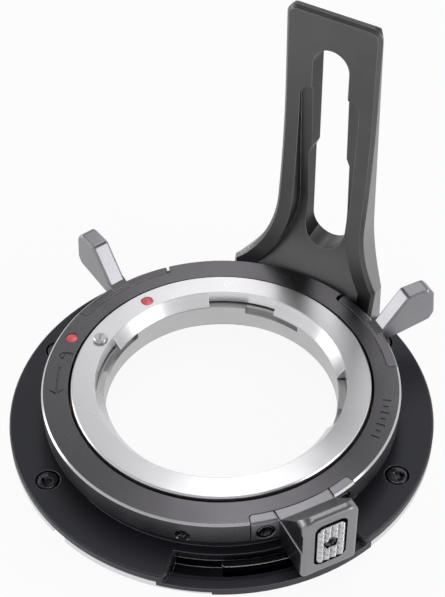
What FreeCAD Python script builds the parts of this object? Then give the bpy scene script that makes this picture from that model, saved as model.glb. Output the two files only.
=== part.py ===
"""Lens mount unit: a bayonet lens seat with a turning lock ring, a latch block and a slotted support arm.

Millimetres. +Z runs along the optical axis towards the lens, and the origin is the centre of the
spigot's lower face. +Y points at the support arm. Angles are degrees about +Z, counted from +X.
The lock ring is drawn locked, and it opens clockwise as seen from the lens side.
"""
import FreeCAD
import Part
import math
import os

# Driving sizes
THROAT_R = 22.0            # free radius of the lens throat at the silver face
ARM_RISE = 54.0            # top of the support arm above the silver face
ARM_HALF_W = 9.0           # half the width of the arm's upper plate
LOCK_TRAVEL_DEG = 33.3     # turn of the lock ring from open to locked

# Clearances and small allowances
FIT_GAP = 0.1              # between pieces that are assembled and don't move on each other
PRESS_GAP = 0.02           # around enamel, pins and screw shanks in their own holes
HEAD_GAP = 0.25            # around a screw head in its counterbore
RUN_GAP = 0.1              # under the turning ring
TURN_GAP = 0.35            # around the neck, inside the turning ring
CLAMP_GAP = 0.3            # around the clamp ring
EDGE_BREAK = 0.25          # small chamfer on turned edges
SINK = 0.05                # how far a dot or a flush screw head lies below its face
PAST = 1.0                 # how far a cutting shape runs past the face that it opens
NEAR = 1e-3                # tolerance for finding an edge by its place

# Camera ring: spigot, rim and rear bore
SPIGOT_H = 1.4
RIM_T = 1.5
RIM_STEP = 2.2             # how far the rim stands out past the spigot
REAR_BORE_STEP = 3.5       # rear bore outside the throat
RIM_NOTCH_AZ = -104.4      # small gap in the silver rim
RIM_NOTCH_DEG = 5.0
RIM_NOTCH_DEPTH = 1.2

# Base flange, its boss and its neck
FLANGE_T = 1.5
FLANGE_CORNER = 1.3        # rounded corners of the flange beside the recess
BOSS_H = 2.0
BOSS_STEP = 1.2            # boss inside the ring's edge
NECK_STEP = 0.15           # neck outside the lens plate
LIP_W = 1.1                # lip that carries the clamp ring from below
LIP_T = 0.3

# Recess that the latch block passes over, and the dark skirt that closes it outside
RECESS_START_AZ = -72.0
RECESS_END_AZ = -19.4
RECESS_GAP = 0.5           # recess outside the ring's edge
RECESS_FLOOR_W = 0.55      # floor left outside the strike rail
RECESS_STEP_W = 1.2
RECESS_STEP_H = 0.6        # step below the flange
RECESS_FLOOR_H = 1.4       # floor below the step
LEDGE_T = 0.3              # dark ledge on the step
SKIRT_T = 1.6
SKIRT_START_AZ = -60.5     # full height from here on, and a lip above the silver rim before it
SKIRT_ROOT_DEG = 2.5
RIM_SHOW = 0.6             # silver rim left below the lip

# Lock ring and the glide ring under it
RING_W = 4.7
RING_H = 4.45
RING_DROP = 0.55           # ring top below the silver face
RING_CHAMFER = 0.35
GLIDE_T = 0.5

# Bayonet plate and its shim
PLATE_W = 4.2              # width of the silver face outside the throat
PLATE_T = 1.4
PLATE_SKIRT_W = 1.6        # skirt that centres the plate in the neck
PLATE_SKIRT_H = 1.0
LOBE_W = 1.6               # how far the bevelled lobes reach into the throat
CUTOUT_COUNT = 4
CUTOUT_AZ = 111.0
CUTOUT_DEG = 34.0
SHIM_T = 0.15

# Clamp ring under the lobes
CLAMP_STEP = 0.2           # clamp bore outside the lobes
CLAMP_NOTCH_W = 1.0
CLAMP_NOTCH_H = 1.2
CLAMP_NOTCH_DEG = 30.0

# Index marks
DOT_R = 1.1
DOT_DEPTH = 0.3
LENS_DOT_AZ = 156.6
LENS_DOT_STEP = 1.9        # outside the throat
LOCK_DOT_STEP = 2.4        # inside the ring's edge
PIN_AZ = 187.6
PIN_STEP = 1.7             # outside the throat
PIN_R = 1.25
PIN_DEPTH = 1.0
PIN_RISE = 0.75
PIN_SLOT_W = 0.4
PIN_SLOT_DEPTH = 0.35
PIN_SLOT_TURN = 20.0

# Engraved marks on the lock ring
ENGRAVE_DEPTH = 0.2
ENGRAVE_W = 0.28
ARROW_STEP = 2.7           # inside the ring's edge
ARROW_AZ = (204.5, 217.5)
ARROW_BARB = 1.5
ARROW_BARB_TURNS = (-40.0, -140.0)
PADLOCK_AZ = 199.0
PADLOCK_W = 1.9
PADLOCK_H = 1.5
TICK_AZ = (5.5, 22.5)
TICK_COUNT = 7
TICK_STEP = 2.4            # inside the ring's edge
TICK_LENGTHS = (1.5, 0.9)

# Wings: inserts let into the ring's edge, and blades
WING_AZ = {"wing_left": 159.9, "wing_right": 56.6}
POCKET_EXTRA_DEG = {"wing_left": (-1.1, 0.0), "wing_right": (0.0, 1.1)}
INSERT_HALF_DEG = 18.4
INSERT_W = 1.9
INSERT_H = 2.85
INSERT_CORNER = 0.6
WING_T = 3.4
WING_CHAMFER = 0.4
WING_CORNER = 0.9          # rounded corners of the blade's outline
WING_SCREW_DEG = 11.0
WING_SCREW_COVER = 0.6     # insert left outside the end of a wing screw
# Blade outline: how far out from the ring's edge, and how far up from the ring's top
WING_OUTLINE = ((-1.2, -2.35), (1.6, -2.25), (9.7, -0.65), (10.6, 0.85), (10.2, 5.55),
                (9.0, 6.95), (4.8, 6.65), (0.0, 0.5), (-1.2, 0.0))

# Latch block and its two tabs
BLOCK_AZ = -31.7
BLOCK_W = 10.1
BLOCK_OVERHANG = 1.4       # front face outside the flange
BLOCK_FLOAT = 0.4          # clearance over the flange
BLOCK_RISE = 6.95          # block top above the ring's top
BLOCK_RIDGE = 1.4          # flat top behind the front face
BLOCK_TOP_ROUND = 2.0
BLOCK_LOW_ROUND = 0.9
BLOCK_FRONT_ROUND = 0.8
TAB_HALF_DEG = 17.6
TAB_W = 1.7
TAB_PROUD = 0.15           # tab outside the ring's edge
TAB_CORNER = 0.6
TAB_GROOVE_W = 0.3
TAB_GROOVE_DEPTH = 0.35
TAB_SCREW_DEG = 13.2
TAB_SCREW_UP = 1.9         # above the ring's underside
TAB_SCREW_COVER = 0.5      # ring wall left behind the end of a tab screw

# Push button, plunger and spring
WELL_W = 5.85
WELL_H = 9.9
WELL_UP = 0.4              # middle of the well above the ring's top
WELL_ROUND = 1.4
WELL_FLOOR_GAP = 0.25      # left behind the button when it is pressed
BUTTON_GAP = 0.45          # beside the button
BUTTON_END_GAP = 0.8       # above and below the button
BUTTON_ROUND = 0.9
BUTTON_T = 1.2
BUTTON_PROUD = 0.05
BUTTON_TRAVEL = 1.0
PYRAMID_COLS = 4
PYRAMID_ROWS = 6
PYRAMID_H = 0.65
PYRAMID_FILL = 0.98        # share of the pitch that a pyramid's base takes
STEM_R = 1.0
STEM_GAP = 0.05
STEM_STEP = 0.4            # stem starts outside the tooth
POST_T = 0.6
TOOTH_IN_STEP = 0.1        # tooth outside the rail's inner wall
TOOTH_T = 0.8
TOOTH_W = 2.6
TOOTH_GAP = 0.3
TOOTH_COVER = 0.85         # top of the tooth below the ring's top
TOOTH_BRIDGE_H = 1.2
SPRING_GUIDE = 0.4         # wall between the plunger's slot and the spring's seat
SPRING_WIRE_W = 0.3         # flat wire: across the coil, and along it
SPRING_WIRE_T = 0.2
SPRING_TURNS = 3
SPRING_MEAN_R = 1.6

# Strike rail in the recess
RAIL_STEP = 1.1            # rail outside the recess's inner wall
RAIL_T = 1.25
RAIL_DROP = 0.1            # rail top below the flange top
RAIL_AZ = (-57.8, -38.5)
RAIL_PIN_R = 0.35
RAIL_PIN_DEG = 3.0
RAIL_PIN_UP = 1.5

# Support arm
ARM_STEP = 4.45            # arm front outside the ring's edge
ARM_T = 3.9
ARM_TOP_T = 1.45           # thickness at the top, where the back is chamfered
ARM_SIDE_T = 0.7           # side faces at the top, in front of the back's slanted corners
ARM_SIDE_SPREAD = 2.9      # how much deeper the side faces get down to the flange
ARM_CORNER_R = 2.1
ARM_CHAMFER = 0.6
ARM_SWEEP_UP = 38.85       # start of the slow forward sweep, above the ring's top
ARM_SWEEP_R = 186.0
ARM_BEND_UP = 13.55        # start of the flare and of the web's sweep, above the ring's top
ARM_FLARE_R = 20.7
ARM_FOOT_W = (16.5, 13.2)  # foot to the left and to the right of the middle
ARM_RING_GAP = 0.5
WEB_SWEEP_R = 23.0
RIB_W = 3.2
RIB_RISE = 1.4             # pocket's floor behind the upper front at the bend, less towards the top
POCKET_DROP = 15.5         # top of the pocket below the arm's top
SLOT_HALF_W = 3.5
SLOT_WIDE_HALF_W = 4.1
SLOT_DROP = 6.7            # top of the slot below the arm's top
SLOT_NARROW_H = 22.1
SLOT_SHOULDER_H = 1.5      # slanted step between the two widths
SLOT_BOTTOM_UP = 4.25      # bottom of the slot above the ring's top

# Screws: shank radius, head radius, head height, socket radius
FLANGE_SCREW = {"shank": 1.0, "head": 1.9, "head_h": 2.0, "socket": 0.85}
FLANGE_SCREW_STEP = 3.9    # inside the flange's edge
FLANGE_SCREW_AZ = (4.5, 60.5, 186.2, 240.5)
FLANGE_SCREW_FLOOR = 0.7   # silver left under the end of a flange screw
PLATE_SCREW = {"shank": 0.7, "head": 1.15, "head_h": 1.0, "socket": 0.6}
PLATE_SCREW_AZ = (40.0, 140.0, 220.0, 320.0)
PLATE_SCREW_COVER = 0.3    # silver left above the end of a plate screw
TAB_SCREW = {"shank": 0.7, "head": 1.5, "head_h": 1.3, "socket": 0.75}
WING_SCREW = {"shank": 0.6, "head": 1.0, "head_h": 0.9, "socket": 0.5}
DRIVE_SCREW = {"shank": 0.7, "head": 1.15, "head_h": 1.2, "socket": 0.6}
DRIVE_SCREW_AZ = (-69.7, 110.3)
DRIVE_SCREW_UP = 1.1       # above the ring's underside
DRIVE_SCREW_SINK = 0.3     # head below the ring's edge
DRIVE_SCREW_COVER = 1.4    # clamp ring left inside the end of a drive screw
DRIVE_SLOT_GAP = 0.35
BUTTON_SCREW = {"shank": 0.55, "head": 1.15, "head_h": 0.7, "socket": 0.55}
BUTTON_SCREW_GRIP = 2.0    # length of the screw inside the plunger
ARM_SCREW = {"shank": 0.8, "head": 1.4, "head_h": 1.1, "socket": 0.7}
ARM_SCREW_STEP = 2.2       # outside the ring's edge
ARM_SCREW_DEG = 12.0       # on both sides of the arm's middle
ARM_SCREW_GRIP = 4.5
SOCKET_DEPTH = 0.5

# Levels, from the spigot up
RIM_Z = SPIGOT_H
FLANGE_Z = RIM_Z + RIM_T
FLANGE_TOP = FLANGE_Z + FLANGE_T
BOSS_TOP = FLANGE_TOP + BOSS_H
GLIDE_TOP = BOSS_TOP + GLIDE_T
RING_Z = GLIDE_TOP + RUN_GAP
RING_TOP = RING_Z + RING_H
FACE_Z = RING_TOP + RING_DROP
PLATE_Z = FACE_Z - PLATE_T
LOBE_Z = PLATE_Z - PLATE_SKIRT_H
NECK_TOP = PLATE_Z - SHIM_T
LIP_TOP = FLANGE_TOP + LIP_T
CLAMP_Z = LIP_TOP + CLAMP_GAP
CLAMP_TOP = LOBE_Z - CLAMP_GAP
INSERT_Z = RING_TOP - INSERT_H
WING_SCREW_Z = INSERT_Z + INSERT_H / 2
TAB_SCREW_Z = RING_Z + TAB_SCREW_UP
DRIVE_Z = RING_Z + DRIVE_SCREW_UP
RECESS_STEP_Z = FLANGE_Z - RECESS_STEP_H
RECESS_FLOOR_Z = RECESS_STEP_Z - RECESS_FLOOR_H
RAIL_TOP = FLANGE_TOP - RAIL_DROP
RAIL_PIN_TOP = RECESS_FLOOR_Z + RAIL_PIN_UP
BLOCK_Z = FLANGE_TOP + BLOCK_FLOAT
BLOCK_TOP_Z = RING_TOP + BLOCK_RISE
WELL_Z = RING_TOP + WELL_UP
TOOTH_TOP = RING_TOP - TOOTH_COVER
ARM_TOP_Z = FACE_Z + ARM_RISE
ARM_SWEEP_Z = RING_TOP + ARM_SWEEP_UP
ARM_BEND_Z = RING_TOP + ARM_BEND_UP
ARM_SCREW_TOP = FLANGE_TOP + ARM_SCREW_GRIP
POCKET_TOP_Z = ARM_TOP_Z - POCKET_DROP
SLOT_TOP_Z = ARM_TOP_Z - SLOT_DROP
SLOT_STEP_Z = SLOT_TOP_Z - SLOT_NARROW_H
SLOT_BOTTOM_Z = RING_TOP + SLOT_BOTTOM_UP

# Radii, from the throat out
LOBE_R = THROAT_R - LOBE_W
PLATE_R = THROAT_R + PLATE_W
NECK_BORE_R = THROAT_R + PLATE_SKIRT_W + FIT_GAP
NECK_R = PLATE_R + NECK_STEP
LIP_R = NECK_BORE_R - LIP_W
PLATE_SCREW_R = (NECK_BORE_R + NECK_R) / 2
REAR_BORE_R = THROAT_R + REAR_BORE_STEP
CLAMP_BORE_R = LOBE_R + CLAMP_STEP
CLAMP_R = NECK_BORE_R - CLAMP_GAP
DRIVE_SCREW_IN = CLAMP_BORE_R + DRIVE_SCREW_COVER
RING_BORE_R = NECK_R + TURN_GAP
RING_R = RING_BORE_R + RING_W
BOSS_R = RING_R - BOSS_STEP
INSERT_IN_R = RING_R - INSERT_W
TAB_IN_R = RING_R - TAB_W
TAB_R = RING_R + TAB_PROUD
RECESS_IN_R = RING_R + RECESS_GAP
RAIL_IN_R = RECESS_IN_R + RAIL_STEP
RAIL_R = RAIL_IN_R + RAIL_T
RECESS_STEP_R = RAIL_R + RECESS_FLOOR_W
RECESS_RIM_R = RECESS_STEP_R + RECESS_STEP_W
FLANGE_R = RECESS_RIM_R + SKIRT_T
SPIGOT_R = FLANGE_R - RIM_STEP
FLANGE_SCREW_R = FLANGE_R - FLANGE_SCREW_STEP
ARM_FRONT_Y = RING_R + ARM_STEP
ARM_BACK_Y = ARM_FRONT_Y + ARM_T

# Places along the block's own direction, from the front face in
BLOCK_FACE = FLANGE_R + BLOCK_OVERHANG
BUTTON_FRONT = BLOCK_FACE + BUTTON_PROUD
BUTTON_BACK = BUTTON_FRONT - BUTTON_T
BUTTON_SCREW_IN = BUTTON_BACK - BUTTON_SCREW_GRIP
WELL_FLOOR = BUTTON_BACK - BUTTON_TRAVEL - WELL_FLOOR_GAP
TOOTH_IN = RAIL_IN_R + TOOTH_IN_STEP
TOOTH_OUT = TOOTH_IN + TOOTH_T
STEM_IN = TOOTH_OUT + STEM_STEP
POST_OUT = STEM_IN + POST_T
SPRING_SEAT = POST_OUT + TOOTH_GAP + SPRING_GUIDE

# Places given as a radius and an angle
LENS_DOT_AT = (THROAT_R + LENS_DOT_STEP, LENS_DOT_AZ)
LOCK_DOT_AT = (RING_R - LOCK_DOT_STEP, LENS_DOT_AZ + LOCK_TRAVEL_DEG)
PIN_AT = (THROAT_R + PIN_STEP, PIN_AZ)
FLANGE_SCREW_AT = [(FLANGE_SCREW_R, az) for az in FLANGE_SCREW_AZ]
PLATE_SCREW_AT = [(PLATE_SCREW_R, az) for az in PLATE_SCREW_AZ]
ARM_SCREW_AT = [(RING_R + ARM_SCREW_STEP, 90 + side * ARM_SCREW_DEG) for side in (-1, 1)]
RAIL_PIN_AT = [(RAIL_IN_R + RAIL_T / 2, az) for az in (RAIL_AZ[0] + RAIL_PIN_DEG, RAIL_AZ[1] - RAIL_PIN_DEG)]

UP = FreeCAD.Vector(0, 0, 1)
CENTRE = FreeCAD.Vector(0, 0, 0)
SQUARE = ((-1, -1), (1, -1), (1, 1), (-1, 1))


def vec(x, y, z):
    return FreeCAD.Vector(x, y, z)


def spin(shape, az):
    """A copy of a shape turned about the optical axis."""
    turned = shape.copy()
    turned.rotate(CENTRE, UP, az)
    return turned


def disc(radius, low, high):
    return Part.makeCylinder(radius, high - low, vec(0, 0, low))


def tube(inner, outer, low, high):
    return disc(outer, low, high).cut(disc(inner, low, high))


def sector(inner, outer, low, high, start, end):
    """Part of a tube between two angles."""
    wedge = Part.makeCylinder(outer, high - low, vec(0, 0, low), UP, end - start)
    return spin(wedge, start).cut(disc(inner, low, high))


def arc_insert(inner, outer, low, high, start, end, corner):
    """Part of a tube between two angles, with its two inner upright edges rounded."""
    body = sector(inner, outer, low, high, start, end)
    inner_edges = []
    for edge in body.Edges:
        foot = edge.Vertexes[0].Point
        stands = edge.BoundBox.ZLength > (high - low) / 2
        if stands and math.hypot(foot.x, foot.y) < (inner + outer) / 2:
            inner_edges.append(edge)
    return body.makeFillet(corner, inner_edges)


def upright(radius, at, low, high):
    """A round post or hole at a polar place (radius, angle)."""
    return spin(Part.makeCylinder(radius, high - low, vec(at[0], 0, low)), at[1])


def radial(radius, az, z, near, far):
    """A round post or hole that lies along the direction az."""
    bar = Part.makeCylinder(radius, far - near, vec(near, 0, z), vec(1, 0, 0))
    return spin(bar, az)


def face_of(points):
    """A flat face through points given in order."""
    return Part.Face(Part.makePolygon(points + [points[0]]))


def bar_of(outline, width):
    """A bar across Y, centred on Y = 0, from an outline given in X and Z."""
    points = [vec(x, -width / 2, z) for x, z in outline]
    return face_of(points).extrude(vec(0, width, 0))


def screw(size, length):
    """Socket screw along +X: its head ends at x = 0 and its shank runs to x = -head_h - length."""
    seat = -size["head_h"]
    head = Part.makeCylinder(size["head"], size["head_h"], vec(seat, 0, 0), vec(1, 0, 0))
    shank = Part.makeCylinder(size["shank"], length, vec(seat - length, 0, 0), vec(1, 0, 0))
    corners = []
    for k in range(6):
        turn = math.radians(60 * k)
        corners.append(vec(0, size["socket"] * math.cos(turn), size["socket"] * math.sin(turn)))
    socket = face_of(corners).extrude(vec(-SOCKET_DEPTH, 0, 0))
    return head.fuse(shank).cut(socket).removeSplitter()


def radial_screw(size, length, az, z, out):
    """A socket screw whose head faces outwards at the radius out."""
    body = screw(size, length)
    body.translate(vec(out, 0, z))
    return spin(body, az)


def upright_screw(size, length, at, end, head_up=True):
    """A socket screw along Z at a polar place, with the end of its head at the height end."""
    body = screw(size, length)
    body.rotate(CENTRE, vec(0, 1, 0), -90 if head_up else 90)
    body.translate(vec(at[0], 0, end))
    return spin(body, at[1])


def cut_all(shape, tools):
    for tool in tools:
        shape = shape.cut(tool)
    return shape


def long_edges(shape, low, high):
    """Edges along X that lie between two heights."""
    found = []
    for edge in shape.Edges:
        box = edge.BoundBox
        if box.XLength > NEAR and box.YLength < NEAR and box.ZMin > low - NEAR and box.ZMax < high + NEAR:
            found.append(edge)
    return found


def rounded_box(width, height, near, far, z, corner):
    """Box along X from near to far, centred on Y = 0 and the height z, with four rounded edges."""
    box = Part.makeBox(far - near, width, height, vec(near, -width / 2, z - height / 2))
    return box.makeFillet(corner, long_edges(box, z - height, z + height))


def edges_at(shape, z, radius):
    """Round edges of a shape that lie at a height and have a radius."""
    found = []
    for edge in shape.Edges:
        box = edge.BoundBox
        flat = abs(box.ZMin - z) < NEAR and abs(box.ZMax - z) < NEAR
        if flat and hasattr(edge.Curve, "Radius") and abs(edge.Curve.Radius - radius) < NEAR:
            found.append(edge)
    return found


def recess_cut():
    """Space milled out of the flange and the camera ring for the latch."""
    span = (RECESS_START_AZ, RECESS_END_AZ)
    through = sector(RECESS_IN_R, FLANGE_R + PAST, FLANGE_Z, FLANGE_TOP + PAST, *span)
    wide = sector(RECESS_IN_R, RECESS_RIM_R, RECESS_STEP_Z, FLANGE_Z, *span)
    deep = sector(RECESS_IN_R, RECESS_STEP_R, RECESS_FLOOR_Z, RECESS_STEP_Z, *span)
    return through.fuse([wide, deep])


def ledge_space():
    """Space above the recess's step, with the dark ledge that covers it."""
    return sector(RECESS_STEP_R, RECESS_RIM_R, RECESS_STEP_Z - LEDGE_T, FLANGE_Z,
                  RECESS_START_AZ - SKIRT_ROOT_DEG, RECESS_END_AZ + SKIRT_ROOT_DEG)


def skirt_space(past=0.0):
    """Arc outside the recess that the flange's dark skirt fills, and the lip that starts it."""
    outer = FLANGE_R + past
    skirt = sector(RECESS_RIM_R, outer, RIM_Z, FLANGE_Z, SKIRT_START_AZ, RECESS_END_AZ + SKIRT_ROOT_DEG)
    lip = sector(RECESS_RIM_R, outer, RIM_Z + RIM_SHOW, FLANGE_Z,
                 RECESS_START_AZ - SKIRT_ROOT_DEG, SKIRT_START_AZ)
    return skirt.fuse(lip)


def camera_ring():
    spigot = tube(REAR_BORE_R, SPIGOT_R, 0, RIM_Z)
    rim = tube(REAR_BORE_R, FLANGE_R, RIM_Z, FLANGE_Z)
    body = rim.makeChamfer(EDGE_BREAK, edges_at(rim, RIM_Z, FLANGE_R)).fuse(spigot)
    half = RIM_NOTCH_DEG / 2
    notch = sector(FLANGE_R - RIM_NOTCH_DEPTH, FLANGE_R + PAST, RIM_Z, FLANGE_Z,
                   RIM_NOTCH_AZ - half, RIM_NOTCH_AZ + half)
    tools = [recess_cut(), ledge_space(), skirt_space(PAST), notch]
    seat = FLANGE_TOP - FLANGE_SCREW["head_h"]
    for at in FLANGE_SCREW_AT:
        tools.append(upright(FLANGE_SCREW["head"] + HEAD_GAP, at, seat, FLANGE_Z))
        tools.append(upright(FLANGE_SCREW["shank"] + PRESS_GAP, at, FLANGE_SCREW_FLOOR, seat))
    for at in PLATE_SCREW_AT:
        tools.append(upright(PLATE_SCREW["head"] + HEAD_GAP, at, 0, FLANGE_Z))
    for at in ARM_SCREW_AT:
        tools.append(upright(ARM_SCREW["shank"] + FIT_GAP, at, 0, FLANGE_Z))
        tools.append(upright(ARM_SCREW["head"] + FIT_GAP, at, 0, SINK + ARM_SCREW["head_h"]))
    for at in RAIL_PIN_AT:
        tools.append(upright(RAIL_PIN_R + PRESS_GAP, at, 0, RECESS_FLOOR_Z))
    return cut_all(body, tools)


def drive_slot(az):
    """Slot in the neck that lets a drive screw travel with the ring."""
    reach = DRIVE_SCREW["shank"] + DRIVE_SLOT_GAP
    side = math.degrees(math.asin(reach / NECK_BORE_R))
    return sector(NECK_BORE_R - PAST, NECK_R + PAST, DRIVE_Z - reach, DRIVE_Z + reach,
                  az - LOCK_TRAVEL_DEG - side, az + side)


def flange_plate():
    """Round plate of the flange, open at the recess, with rounded corners and a broken edge."""
    plate = tube(LIP_R, FLANGE_R, FLANGE_Z, FLANGE_TOP).cut(recess_cut())
    corners = []
    for edge in plate.Edges:
        foot = edge.Vertexes[0].Point
        at_rim = abs(math.hypot(foot.x, foot.y) - FLANGE_R) < NEAR
        if at_rim and abs(edge.BoundBox.ZLength - FLANGE_T) < NEAR and edge.BoundBox.XLength < NEAR:
            corners.append(edge)
    plate = plate.makeFillet(FLANGE_CORNER, corners)
    return plate.makeChamfer(EDGE_BREAK, edges_at(plate, FLANGE_TOP, FLANGE_R))


def base_flange():
    boss = tube(LIP_R, BOSS_R, FLANGE_TOP, BOSS_TOP)
    neck = tube(LIP_R, NECK_R, FLANGE_TOP, NECK_TOP)
    ledge = ledge_space().cut(recess_cut())
    body = flange_plate().fuse([boss, neck, ledge, skirt_space()])
    tools = [disc(NECK_BORE_R, LIP_TOP, NECK_TOP)]
    for az in DRIVE_SCREW_AZ:
        tools.append(drive_slot(az))
    for at in FLANGE_SCREW_AT:
        tools.append(upright(FLANGE_SCREW["head"] + HEAD_GAP, at, FLANGE_Z, FLANGE_TOP))
    head_top = FLANGE_Z + PLATE_SCREW["head_h"]
    for at in PLATE_SCREW_AT:
        tools.append(upright(PLATE_SCREW["head"] + FIT_GAP, at, FLANGE_Z, head_top))
        tools.append(upright(PLATE_SCREW["shank"] + PRESS_GAP, at, head_top, NECK_TOP))
    for at in ARM_SCREW_AT:
        tools.append(upright(ARM_SCREW["shank"] + FIT_GAP, at, FLANGE_Z, FLANGE_TOP))
    return cut_all(body, tools).removeSplitter()


def flange_screws():
    length = FLANGE_TOP - FLANGE_SCREW["head_h"] - FLANGE_SCREW_FLOOR
    return Part.makeCompound([upright_screw(FLANGE_SCREW, length, at, FLANGE_TOP) for at in FLANGE_SCREW_AT])


def glide_ring():
    return tube(NECK_R + FIT_GAP, BOSS_R, BOSS_TOP, GLIDE_TOP)


def flange_shim():
    body = tube(NECK_BORE_R, PLATE_R, NECK_TOP, PLATE_Z)
    holes = [upright(PLATE_SCREW["shank"] + FIT_GAP, at, NECK_TOP, PLATE_Z) for at in PLATE_SCREW_AT]
    return cut_all(body, holes)


def bayonet_plate():
    """Silver lens seat: a flat face, a skirt in the neck, bevelled lobes and the cut-outs between them."""
    face = disc(PLATE_R, PLATE_Z, FACE_Z)
    face = face.makeChamfer(EDGE_BREAK, edges_at(face, FACE_Z, PLATE_R))
    body = face.fuse(disc(NECK_BORE_R - FIT_GAP, LOBE_Z, PLATE_Z))
    tools = [Part.makeCone(LOBE_R, THROAT_R, FACE_Z - LOBE_Z, vec(0, 0, LOBE_Z))]
    half = CUTOUT_DEG / 2
    for k in range(CUTOUT_COUNT):
        middle = CUTOUT_AZ + 360.0 * k / CUTOUT_COUNT
        tools.append(sector(LOBE_R - PAST, THROAT_R, LOBE_Z, FACE_Z, middle - half, middle + half))
    tools.append(upright(DOT_R + PRESS_GAP, LENS_DOT_AT, FACE_Z - DOT_DEPTH, FACE_Z))
    tools.append(upright(PIN_R + PRESS_GAP, PIN_AT, FACE_Z - PIN_DEPTH, FACE_Z))
    for at in PLATE_SCREW_AT:
        tools.append(upright(PLATE_SCREW["shank"] + PRESS_GAP, at, PLATE_Z, FACE_Z - PLATE_SCREW_COVER))
    return cut_all(body, tools).removeSplitter()


def plate_screws():
    length = FACE_Z - PLATE_SCREW_COVER - FLANGE_Z - PLATE_SCREW["head_h"]
    bodies = [upright_screw(PLATE_SCREW, length, at, FLANGE_Z, head_up=False) for at in PLATE_SCREW_AT]
    return Part.makeCompound(bodies)


def index_pin():
    out = PIN_AT[0]
    top = FACE_Z + PIN_RISE
    body = Part.makeCylinder(PIN_R, PIN_DEPTH + PIN_RISE, vec(out, 0, FACE_Z - PIN_DEPTH))
    body = body.makeChamfer(EDGE_BREAK, edges_at(body, top, PIN_R))
    slot = Part.makeBox(PIN_SLOT_W, 4 * PIN_R, PIN_SLOT_DEPTH,
                        vec(out - PIN_SLOT_W / 2, -2 * PIN_R, top - PIN_SLOT_DEPTH))
    slot.rotate(vec(out, 0, 0), UP, PIN_SLOT_TURN)
    return spin(body.cut(slot), PIN_AT[1])


def enamel_dot(at, top):
    return upright(DOT_R, at, top - DOT_DEPTH, top - SINK)


def wing_screw_angles(name):
    return [WING_AZ[name] - WING_SCREW_DEG, WING_AZ[name] + WING_SCREW_DEG]


def wing_pocket(name):
    """Space in the ring's edge for a wing's insert, a little longer at one end."""
    side = INSERT_HALF_DEG + math.degrees(FIT_GAP / RING_R)
    before, after = POCKET_EXTRA_DEG[name]
    return arc_insert(INSERT_IN_R - FIT_GAP, RING_R + PAST, INSERT_Z - FIT_GAP, RING_TOP + PAST,
                      WING_AZ[name] - side + before, WING_AZ[name] + side + after, INSERT_CORNER)


def arrow_cuts():
    """Arrow engraved along the ring, pointing in the locking direction, and a closed padlock."""
    low = RING_TOP - ENGRAVE_DEPTH
    high = RING_TOP + PAST
    half = ENGRAVE_W / 2
    middle = RING_R - ARROW_STEP
    cuts = [sector(middle - half, middle + half, low, high, *ARROW_AZ)]
    for turn in ARROW_BARB_TURNS:
        barb = Part.makeBox(ARROW_BARB, ENGRAVE_W, high - low, vec(0, -half, low))
        barb.rotate(CENTRE, UP, turn)
        barb.translate(vec(middle, 0, 0))
        cuts.append(spin(barb, ARROW_AZ[1]))
    lock = Part.makeBox(PADLOCK_H, PADLOCK_W, high - low, vec(middle - PADLOCK_H, -PADLOCK_W / 2, low))
    bow_r = PADLOCK_W / 2 - half
    bow = tube(bow_r - ENGRAVE_W, bow_r, low, high)
    bow.translate(vec(middle, 0, 0))
    cuts.append(spin(lock.fuse(bow), PADLOCK_AZ))
    return cuts


def tick_cuts():
    """Short engraved strokes, long and short in turn."""
    middle = RING_R - TICK_STEP
    step = (TICK_AZ[1] - TICK_AZ[0]) / (TICK_COUNT - 1)
    cuts = []
    for k in range(TICK_COUNT):
        length = TICK_LENGTHS[k % 2]
        mark = Part.makeBox(length, ENGRAVE_W, ENGRAVE_DEPTH + PAST,
                            vec(middle - length / 2, -ENGRAVE_W / 2, RING_TOP - ENGRAVE_DEPTH))
        cuts.append(spin(mark, TICK_AZ[0] + k * step))
    return cuts


def lock_ring():
    body = tube(RING_BORE_R, RING_R, RING_Z, RING_TOP)
    body = body.makeChamfer(RING_CHAMFER, edges_at(body, RING_TOP, RING_R))
    tools = [upright(DOT_R + PRESS_GAP, LOCK_DOT_AT, RING_TOP - DOT_DEPTH, RING_TOP + PAST)]
    head_out = RING_BORE_R + WING_SCREW["head_h"] + FIT_GAP
    for name in WING_AZ:
        tools.append(wing_pocket(name))
        for az in wing_screw_angles(name):
            tools.append(radial(WING_SCREW["head"] + FIT_GAP, az, WING_SCREW_Z, RING_BORE_R - PAST, head_out))
            tools.append(radial(WING_SCREW["shank"] + PRESS_GAP, az, WING_SCREW_Z, head_out, INSERT_IN_R))
    half = TAB_HALF_DEG + math.degrees(FIT_GAP / RING_R)
    tools.append(arc_insert(TAB_IN_R - FIT_GAP, RING_R + PAST, RING_Z - PAST, RING_TOP + PAST,
                            BLOCK_AZ - half, BLOCK_AZ + half, TAB_CORNER))
    for az in tab_screw_angles():
        tools.append(radial(TAB_SCREW["shank"] + PRESS_GAP, az, TAB_SCREW_Z,
                            RING_BORE_R + TAB_SCREW_COVER, TAB_IN_R))
    head_seat = RING_R - DRIVE_SCREW_SINK - DRIVE_SCREW["head_h"]
    for az in DRIVE_SCREW_AZ:
        tools.append(radial(DRIVE_SCREW["head"] + FIT_GAP, az, DRIVE_Z, head_seat, RING_R + PAST))
        tools.append(radial(DRIVE_SCREW["shank"] + PRESS_GAP, az, DRIVE_Z, RING_BORE_R - PAST, head_seat))
    return cut_all(body, tools + arrow_cuts() + tick_cuts())


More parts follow.
